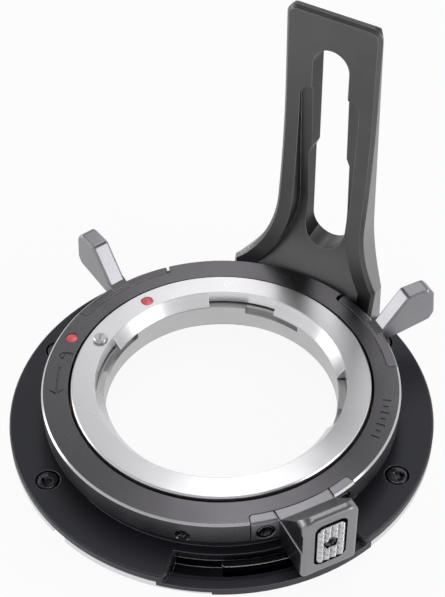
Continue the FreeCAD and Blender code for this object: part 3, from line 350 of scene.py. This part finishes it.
def painted_chamfer_highlight(tree, place, colour):
    """Lighter colour on faces cut at 45 degrees: a painted highlight that shows as a thin bright line on the
    chamfers.
    """
    # Painted highlight: the chamfers are lightened into a thin bright line.
    cut = near(tree, pointing(tree, "Z"), CHAMFER_SLOPE, CHAMFER_MARGIN)
    return blended(tree, cut, colour, linear("#c9c8cb"))


RECESS_MIDDLE = (33.35, 1.85)   # mm out from the axis and up
RECESS_REACH = (1.5, 1.0)


def painted_recess_shade(tree, place, colour):
    """Painted shade: dark colour on the floor and the walls of the recess under the latch, kept off the
    edges.
    """
    out = near(tree, axis_distance(tree, place), RECESS_MIDDLE[0] * MM, RECESS_REACH[0] * MM)
    up = near(tree, part_of(tree, place, "Z"), RECESS_MIDDLE[1] * MM, RECESS_REACH[1] * MM)
    _, edges = broken_edges(tree)
    # Painted shade in the recess under the latch, except on its edges.
    painted = maths(tree, "SUBTRACT", maths(tree, "MULTIPLY", out, up), edges, use_clamp=True)
    return blended(tree, painted, colour, linear("#333338"))


CHROME = ("#e2e1e3", "#dbdadd")
FINISH = {
    "silver_steel": turned_finish("turned_hard_chrome", *CHROME, rough=0.30, stretch=0.65),
    "dull_steel": turned_finish("turned_steel", "#c9c8c8", "#bdbcbc", rough=0.38, stretch=0.5),
    "bronze": turned_finish("turned_bearing_bronze", "#b08a52", "#a37d48", rough=0.35, stretch=0.5),
    "grey_anodised": turned_finish(
        "turned_grey_anodised", "#68666a", "#616063", rough=0.28, stretch=0.85, patch=painted_chamfer_highlight),
}
camera_chrome = turned_finish(
    "turned_hard_chrome_with_painted_shade", *CHROME, rough=0.30, stretch=0.65, patch=painted_recess_shade)
print("turned finishes:", [m.name for m in FINISH.values()] + [camera_chrome.name])

# %% [markdown]
# ## Blasted and anodised aluminium: the flange, the arm, the wings and the latch block
#
# These pieces are milled, blasted with fine glass beads and anodised in black and two greys. Blasting
# leaves tiny pits that spread every reflection into a soft sheen. Real pits in the mesh would take millions
# of faces, so a fine noise bends the shading a little instead. The edges catch the light because they are
# broken by hand: the shader rounds the corners that it sees by a fifth of a millimetre, and a painted
# highlight lightens their colour as well.

# %% Anodised aluminium
GRIT = 0.16                # mm, blasting pits
GRIT_BUMP = (0.12, 0.03)   # strength, and depth in mm
DYE_CLOUD = 9              # mm, patches of paler dye
BLASTED_GLOSS = (0.9, 1.1)
# Colour of the painted highlight on the edges.
EDGE_HIGHLIGHT_TINT = "#d4d3d6"


def painted_edge_highlight(tree, edges, edge_light, colour):
    """Colour lightened at the edges: a painted highlight."""
    return blended(tree, maths(tree, "MULTIPLY", edges, edge_light), colour, linear(EDGE_HIGHLIGHT_TINT))


def blasted_finish(name, light, dark, rough, metallic, edge_light, patch=None):
    """Bead-blasted aluminium: an even satin with a fine grit, slightly cloudy dye and a painted highlight on
    the edges.
    """
    material, tree, place = start_finish(name)
    grit = blotches(tree, place, GRIT)
    colour = two_tones(tree, blotches(tree, place, DYE_CLOUD), dark, light)
    if patch:
        colour = patch(tree, place, colour)
    rounded, edges = broken_edges(tree)
    return shaded(material, tree, {
        "Base Color": painted_edge_highlight(tree, edges, edge_light, colour), "Metallic": metallic,
        "Roughness": uneven(tree, grit, rough, BLASTED_GLOSS),
        "Normal": bumped(tree, grit, GRIT_BUMP, rounded)})


SLOT_REACH = 4.3           # mm from the arm's middle to just past the slot's walls
SIDE_REACH = 7.0           # mm from the arm's middle to just inside its sides
UPRIGHT_MARGIN = 0.3


def arm_painted_light_and_shade(tree, place, colour):
    """Painted shade on the walls of the arm's slot, and painted light on the arm's outward sides."""
    sideways, across = pointing(tree, "X"), part_of(tree, place, "X")
    outward = maths(tree, "MULTIPLY", across, sideways)
    side = maths(tree, "GREATER_THAN", outward, SIDE_REACH * MM)
    upright = near(tree, maths(tree, "ABSOLUTE", sideways), 1.0, UPRIGHT_MARGIN)
    wall = maths(tree, "MULTIPLY", upright, near(tree, across, 0.0, SLOT_REACH * MM))
    # Painted light on the arm's sides, then painted shade on the slot's walls.
    colour = blended(tree, side, colour, linear("#8f8e90"))
    return blended(tree, wall, colour, linear("#1d1c1e"))


WING_FOOT_OUT = 31.5       # mm from the axis to just past the wings' feet
LEVEL_MARGIN = 0.05


def dark_foot(tree, place, colour):
    """Darker dye on top of the wings' feet, which are let into the dark ring and turned with it."""
    level = near(tree, pointing(tree, "Z"), 1.0, LEVEL_MARGIN)
    inner = maths(tree, "LESS_THAN", axis_distance(tree, place), WING_FOOT_OUT * MM)
    return blended(tree, maths(tree, "MULTIPLY", level, inner), colour, linear("#6f6d71"))


LIGHT_GREY = ("#8d8c90", "#868589")
FINISH["black_anodised"] = blasted_finish(
    "black_anodised", "#2a2b33", "#26272e", rough=0.42, metallic=0.3, edge_light=0.3)
FINISH["satin_grey"] = blasted_finish(
    "light_grey_anodised", *LIGHT_GREY, rough=0.30, metallic=1.0, edge_light=0.2)
wing_grey = blasted_finish(
    "light_grey_anodised_with_dark_foot", *LIGHT_GREY, rough=0.30, metallic=1.0, edge_light=0.2, patch=dark_foot)
grey_arm = blasted_finish(
    "grey_anodised", "#656465", "#5e5d5e", rough=0.38, metallic=1.0, edge_light=0.5, patch=arm_painted_light_and_shade)
print("blasted finishes:", FINISH["black_anodised"].name, FINISH["satin_grey"].name,
      wing_grey.name, grey_arm.name)

# %% [markdown]
# ## Bare and blackened steel: pins, rail, button, spring, shim and screws
#
# Small steel parts are ground or drawn, and the grinding leaves fine scratches along one direction. The
# screws are dipped in hot salts, which turns their skin black and a little uneven. One finish serves them
# all: scratches are a noise that is stretched along the part, narrow corners get painted shade, found by
# asking how much of the surroundings a point sees, and edges get a painted highlight. The shade could be
# drawn into a texture, but then it would not fit.

# %% Steel
SCRATCH = 0.08             # mm across a scratch
SCRATCH_STRETCH = 20       # times as long as across
SCRATCH_DEPTH = 0.01       # mm
OXIDE_CLOUD = 2            # mm, patches of uneven colour
STEEL_GLOSS = (0.8, 1.25)
CORNER_SHADE_REACH = 0.5          # mm, corners narrower than this get painted shade
CORNER_SHADE_SKY = (0.35, 0.9)    # share of the surroundings seen where the painted shade is darkest, and where it ends


def steel_finish(name, light, dark, rough, scratched, corner_shade, edge_light, patch=None):
    """Ground steel: sharp reflections that fine scratches smear a little, painted shade in the corners and a
    painted highlight on the edges.
    """
    material, tree, place = start_finish(name)
    pull = (1, 1 / SCRATCH_STRETCH, 1)
    drawn = add(tree, "ShaderNodeVectorMath", {0: place, 1: pull}, operation="MULTIPLY").outputs[0]
    lines = blotches(tree, drawn, SCRATCH)
    # Painted shade: occlusion darkens narrow corners.
    sky = add(tree, "ShaderNodeAmbientOcclusion", {"Distance": CORNER_SHADE_REACH * MM}, samples=8).outputs["AO"]
    painted_corner_shade = ranged(tree, sky, CORNER_SHADE_SKY, corner_shade, 0.0)
    rounded, edges = broken_edges(tree)
    colour = two_tones(tree, blotches(tree, place, OXIDE_CLOUD), dark, light)
    colour = painted_edge_highlight(tree, edges, edge_light, colour)
    if patch:
        colour = patch(tree, place, colour)
    return shaded(material, tree, {
        "Base Color": blended(tree, painted_corner_shade, colour, linear("#0a0a0a")), "Metallic": 1.0,
        "Roughness": uneven(tree, lines, rough, STEEL_GLOSS),
        "Normal": bumped(tree, lines, (scratched, SCRATCH_DEPTH), rounded)})


FLANK_SLOPE = (-0.3, 0.1)  # upward share of a flank where the painted shade is darkest, and where it ends
FLANK_SHADE = 0.9


def painted_flank_shade(tree, place, colour):
    """Painted shade on the flanks that face down, between the points of the button."""
    # Painted shade: the lower the flank faces, the darker it is.
    down = ranged(tree, pointing(tree, "Z"), FLANK_SLOPE, FLANK_SHADE, 0.0)
    return blended(tree, down, colour, linear("#1c1c1e"))


steels = {
    "polished_steel": steel_finish(
        "polished_steel", "#d6d5d7", "#cac9cb", rough=0.26, scratched=0.1, corner_shade=0.3, edge_light=0.4),
    "button_steel": steel_finish(
        "milled_bright_steel", "#d8d7d9", "#cccbcd", rough=0.16, scratched=0.2, corner_shade=1.0, edge_light=0.3,
        patch=painted_flank_shade),
    "spring_steel": steel_finish(
        "drawn_spring_wire", "#a9a8a8", "#9c9b9b", rough=0.25, scratched=0.3, corner_shade=0.4, edge_light=0.1),
    "shim_steel": steel_finish(
        "rolled_shim_steel", "#c4c3c2", "#b8b7b6", rough=0.30, scratched=0.3, corner_shade=0.2, edge_light=0.2),
    "black_steel": steel_finish(
        "black_oxide_steel", "#3a393d", "#2c2b2f", rough=0.18, scratched=0.2, corner_shade=0.8, edge_light=0.6),
}
# Black steel with a strong painted highlight on its edges, for the rail.
edge_lit_black_steel = steel_finish(
    "black_oxide_steel_with_painted_edge_highlights", "#4a494d", "#3c3b3f", rough=0.2, scratched=0.2, corner_shade=0.2, edge_light=1.0)
FINISH.update(steels)
print("steel finishes:", [m.name for m in steels.values()] + [edge_lit_black_steel.name])

# %% [markdown]
# ## Red enamel
#
# The two index dots are small bores filled with red enamel and baked, so they are smooth and a little
# milky, with a glassy skin. A coat over a rough base gives both: the coat mirrors the lamps sharply while
# the colour below stays soft. A slow noise thins the colour here and there, as a hand-filled dot would be.
# With the last finish made, each solid gets its own.

# %% Enamel, and a finish for each solid
THIN_SPOT = 0.7            # mm, patches of thinner colour
SKIN_WAVE = 0.5            # mm, waves in the glassy skin
SKIN_BUMP = (0.05, 0.02)   # strength, and depth in mm

material, tree, place = start_finish("red_enamel")
FINISH["red_enamel"] = shaded(material, tree, {
    "Base Color": two_tones(tree, blotches(tree, place, THIN_SPOT), "#e64f58", "#ee646b"),
    "Roughness": 0.35, "Coat Weight": 0.8, "Coat Roughness": 0.06,
    "Normal": bumped(tree, blotches(tree, place, SKIN_WAVE), SKIN_BUMP)})

OWN_FINISH = {
    "wing_left": wing_grey, "wing_right": wing_grey, "support_arm": grey_arm,
    "camera_ring": camera_chrome, "strike_rail": edge_lit_black_steel,
}
for name, solid in nodes.items():
    holder = solid.material_slots[0]
    holder.material = OWN_FINISH.get(name, FINISH[holder.material.name])
in_use = {solid.material_slots[0].material.name for solid in nodes.values()}
print("finishes on", len(nodes), "solids from", len(in_use), "materials")

# %% [markdown]
# ## Socket screws
#
# The mount's nineteen screws differ only in size, place and direction, so one recipe makes them all. They
# could be cut from cylinders with booleans, but faces that lie on each other make those fail. Here a screw is
# one tube of rings: from the tip up the shank, round the head, over its broken edge and down into the socket,
# where the rings get six sides. The places and sizes are measured on the plain screws among the solids.

# %% Recipe for a socket screw
ROUND_SIDES = 48           # a multiple of six, so that the socket's corners fall on points
SCREW_EDGE = 0.22          # mm, broken edge of the head
MOUTH = 0.15               # mm, countersink of the socket
SOCKET_DEPTH = 0.48        # mm

screw_tree = bpy.data.node_groups.new("socket_screws", "GeometryNodeTree")
port = screw_tree.interface
port.new_socket("Places", in_out="INPUT", socket_type="NodeSocketGeometry")
for size_name in ("Head Radius", "Head Height", "Shank Radius", "Shank Length", "Socket Radius"):
    port.new_socket(size_name, in_out="INPUT", socket_type="NodeSocketFloat")
port.new_socket("Finish", in_out="INPUT", socket_type="NodeSocketMaterial")
port.new_socket("Screws", in_out="OUTPUT", socket_type="NodeSocketGeometry")
given = add(screw_tree, "NodeGroupInput").outputs


def worked(operation, first, second=0.0):
    """Result of one sum in the recipe."""
    return maths(screw_tree, operation, first, second)


head, shank, socket = given["Head Radius"], given["Shank Radius"], given["Socket Radius"]
seat = worked("MULTIPLY", given["Head Height"], -1.0)
tip = worked("SUBTRACT", seat, given["Shank Length"])
radii = [shank, shank, head, head, worked("SUBTRACT", head, SCREW_EDGE * MM),
         worked("ADD", socket, MOUTH * MM), socket, socket]
heights = [tip, seat, seat, -SCREW_EDGE * MM, 0.0, 0.0, -MOUTH * MM, -SOCKET_DEPTH * MM]
six_sided = [0.0] * 6 + [1.0] * 2
steps = len(radii) - 1

tube = add(screw_tree, "GeometryNodeMeshCylinder", {
    "Vertices": ROUND_SIDES, "Side Segments": steps, "Radius": 1.0, "Depth": float(steps)}).outputs["Mesh"]
spot = add(screw_tree, "GeometryNodeInputPosition").outputs[0]
spot = add(screw_tree, "ShaderNodeSeparateXYZ", {0: spot}).outputs
ring = worked("ROUND", worked("ADD", spot["Z"], steps / 2))


def of_ring(values):
    """The value that belongs to a point's ring."""
    pick = add(screw_tree, "GeometryNodeIndexSwitch", {"Index": ring}, data_type="FLOAT")
    while len(pick.index_switch_items) < len(values):
        pick.index_switch_items.new()
    fill(screw_tree, pick, {1 + k: value for k, value in enumerate(values)})
    return pick.outputs[0]


sixth = math.pi / 3
angle = worked("ARCTAN2", spot["Y"], spot["X"])
from_flat = worked("SUBTRACT", worked("FLOORED_MODULO", angle, sixth), sixth / 2)
hexagon = worked("DIVIDE", math.cos(sixth / 2), worked("COSINE", from_flat))
shape = worked("ADD", worked("MULTIPLY", worked("SUBTRACT", hexagon, 1.0), of_ring(six_sided)), 1.0)
reach = worked("MULTIPLY", of_ring(radii), shape)
point = add(screw_tree, "ShaderNodeCombineXYZ", {
    "X": worked("MULTIPLY", spot["X"], reach), "Y": worked("MULTIPLY", spot["Y"], reach),
    "Z": of_ring(heights)})
one_screw = add(screw_tree, "GeometryNodeSetPosition", {
    "Geometry": tube, "Position": point.outputs[0]}).outputs["Geometry"]
axis = add(screw_tree, "GeometryNodeInputNamedAttribute", {"Name": "axis"}, data_type="FLOAT_VECTOR")
lean = add(screw_tree, "FunctionNodeAlignRotationToVector", {"Vector": axis.outputs["Attribute"]}, axis="Z")
copies = add(screw_tree, "GeometryNodeInstanceOnPoints", {
    "Points": given["Places"], "Instance": one_screw, "Rotation": lean.outputs[0]})
solid_screws = add(screw_tree, "GeometryNodeRealizeInstances", {0: copies.outputs[0]})
finished = add(screw_tree, "GeometryNodeSetMaterial", {
    0: solid_screws.outputs[0], "Material": given["Finish"]})
add(screw_tree, "NodeGroupOutput", {"Screws": finished.outputs[0]})
print("recipe with", len(screw_tree.nodes), "nodes")

# %% [markdown]
# ## Measuring the plain screws
#
# Each group of screws is one mesh with several separate islands. Every island is symmetrical about its own
# axis, so the mean of its points lies on that axis, and the direction follows from the way the head faces.
# Then the highest points give the head and the socket, and the lowest give the shank.

# %% Measure and make the screws
ALIKE = 0.01               # mm, how close two lengths are to count as one
SMOOTH_BELOW = 35.0        # degrees, flatter corners are shaded smooth
FACING = {
    "flange_screws": ("base", "up"), "plate_screws": ("base", "down"), "arm_screws": ("base", "down"),
    "housing_screws": ("lock", "out"), "wing_screws": ("lock", "in"), "drive_screws": ("lock", "out"),
    "button_screw": ("button", "out"),
}


def islands(solid):
    """Points of each separate piece of a solid's mesh, in the shared frame."""
    work = bmesh.new()
    work.from_mesh(solid.data)
    bmesh.ops.remove_doubles(work, verts=work.verts, dist=ALIKE * MM / 10)
    left = set(work.verts)
    found = []
    while left:
        group, edge_of_group = set(), [next(v for v in work.verts if v in left)]
        while edge_of_group:
            vert = edge_of_group.pop()
            if vert not in group:
                group.add(vert)
                edge_of_group += [e.other_vert(vert) for e in vert.link_edges]
        left -= group
        found.append([solid.matrix_world @ v.co for v in work.verts if v in group])
    work.free()
    return found


def measured(points, facing):
    """Middle of the head's top, axis and sizes of one screw."""
    middle = sum(points, Vector()) / len(points)
    out = Vector((middle.x, middle.y, 0)).normalized()
    axis = {"up": Vector((0, 0, 1)), "down": Vector((0, 0, -1)), "out": out, "in": -out}[facing]
    close = ALIKE * MM
    rise = [(p - middle).dot(axis) for p in points]
    off = [((p - middle) - axis * h).length for p, h in zip(points, rise)]
    top, tip = max(rise), min(rise)
    head = max(off)
    seat = min(h for h, d in zip(rise, off) if d > head - close)
    sizes = {
        "Head Radius": head, "Head Height": top - seat, "Shank Length": seat - tip,
        "Shank Radius": max(d for h, d in zip(rise, off) if h < tip + close),
        "Socket Radius": min(d for h, d in zip(rise, off) if h > top - close),
    }
    return middle + axis * top, axis, sizes


sockets = {item.name: item.identifier for item in port.items_tree if item.in_out == "INPUT"}
for name, (body, facing) in FACING.items():
    screws = [measured(points, facing) for points in islands(nodes[name])]
    places = bpy.data.meshes.new(name + "_places")
    places.from_pydata([top for top, _, _ in screws], [], [])
    marks = places.attributes.new("axis", "FLOAT_VECTOR", "POINT")
    for mark, (_, way, _) in zip(marks.data, screws):
        mark.vector = way
    piece = bpy.data.objects.new("socket_" + name, places)
    scene.collection.objects.link(piece)
    maker = piece.modifiers.new("socket_screws", "NODES")
    maker.node_group = screw_tree
    sizes = screws[0][2]
    for size_name, value in sizes.items():
        maker[sockets[size_name]] = value
    maker[sockets["Finish"]] = FINISH["black_steel"]
    made = bpy.data.meshes.new_from_object(piece.evaluated_get(bpy.context.evaluated_depsgraph_get()))
    piece.modifiers.remove(maker)
    piece.data = made
    made.shade_smooth()
    made.set_sharp_from_angle(angle=math.radians(SMOOTH_BELOW))
    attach(piece, body)
    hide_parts(name)
    print(name, len(screws), "screws,", len(made.polygons), "faces,",
          {key: round(value / MM, 2) for key, value in sizes.items()})

# %% [markdown]
# ## Enamel dots
#
# Enamel shrinks and pulls itself round in the kiln, so each dot is a low dome, highest in its middle. The
# flat dots among the solids would catch no highlight. A dome is rings of points that sink towards the
# bore's wall, closed below.

# %% Domed dots
DOME_DROP = 0.12           # mm from the dome's middle down to its edge
DOME_RINGS = 6


def dome(node):
    """Closed low dome in the place of a flat dot."""
    low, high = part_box(node)
    centre = (low + high) / 2
    radius = (high.x - low.x) / 2
    points = [(centre.x, centre.y, high.z)]
    shares = [k / DOME_RINGS for k in range(1, DOME_RINGS + 1)]
    rings = [(radius * share, high.z - DOME_DROP * MM * share ** 2) for share in shares]
    for out, z in rings + [(radius, low.z)]:
        for k in range(ROUND_SIDES):
            at = 2 * math.pi * k / ROUND_SIDES
            points.append((centre.x + out * math.cos(at), centre.y + out * math.sin(at), z))
    faces = []
    for k in range(ROUND_SIDES):
        after = (k + 1) % ROUND_SIDES
        faces.append((0, 1 + k, 1 + after))
        for ring in range(DOME_RINGS):
            inner, outer = 1 + ring * ROUND_SIDES, 1 + (ring + 1) * ROUND_SIDES
            faces.append((inner + k, outer + k, outer + after, inner + after))
    last = 1 + DOME_RINGS * ROUND_SIDES
    faces.append(tuple(reversed(range(last, last + ROUND_SIDES))))
    mesh = bpy.data.meshes.new("domed_" + node)
    mesh.from_pydata(points, [], faces)
    mesh.materials.append(FINISH["red_enamel"])
    mesh.shade_smooth()
    mesh.set_sharp_from_angle(angle=math.radians(SMOOTH_BELOW))
    piece = bpy.data.objects.new("domed_" + node, mesh)
    scene.collection.objects.link(piece)
    return piece


for node, body in (("lens_index_dot", "base"), ("lock_index_dot", "lock")):
    piece = dome(node)
    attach(piece, body)
    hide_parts(node)
    print(piece.name, len(piece.data.polygons), "faces")

# %% [markdown]
# ## The button's spring
#
# A small spring of flat wire behind the button pushes it out again, and its turns come closer together as
# the button goes in. A stiff spring would run into the button. The shown spring is a copy of the solid's
# shape with a mesh of its own, carried with the lock.

# %% A copy of the spring
spring = bpy.data.objects.new("pressed_spring", nodes["button_spring"].data.copy())
scene.collection.objects.link(spring)
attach(spring, "lock")
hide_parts("button_spring")
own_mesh(spring)
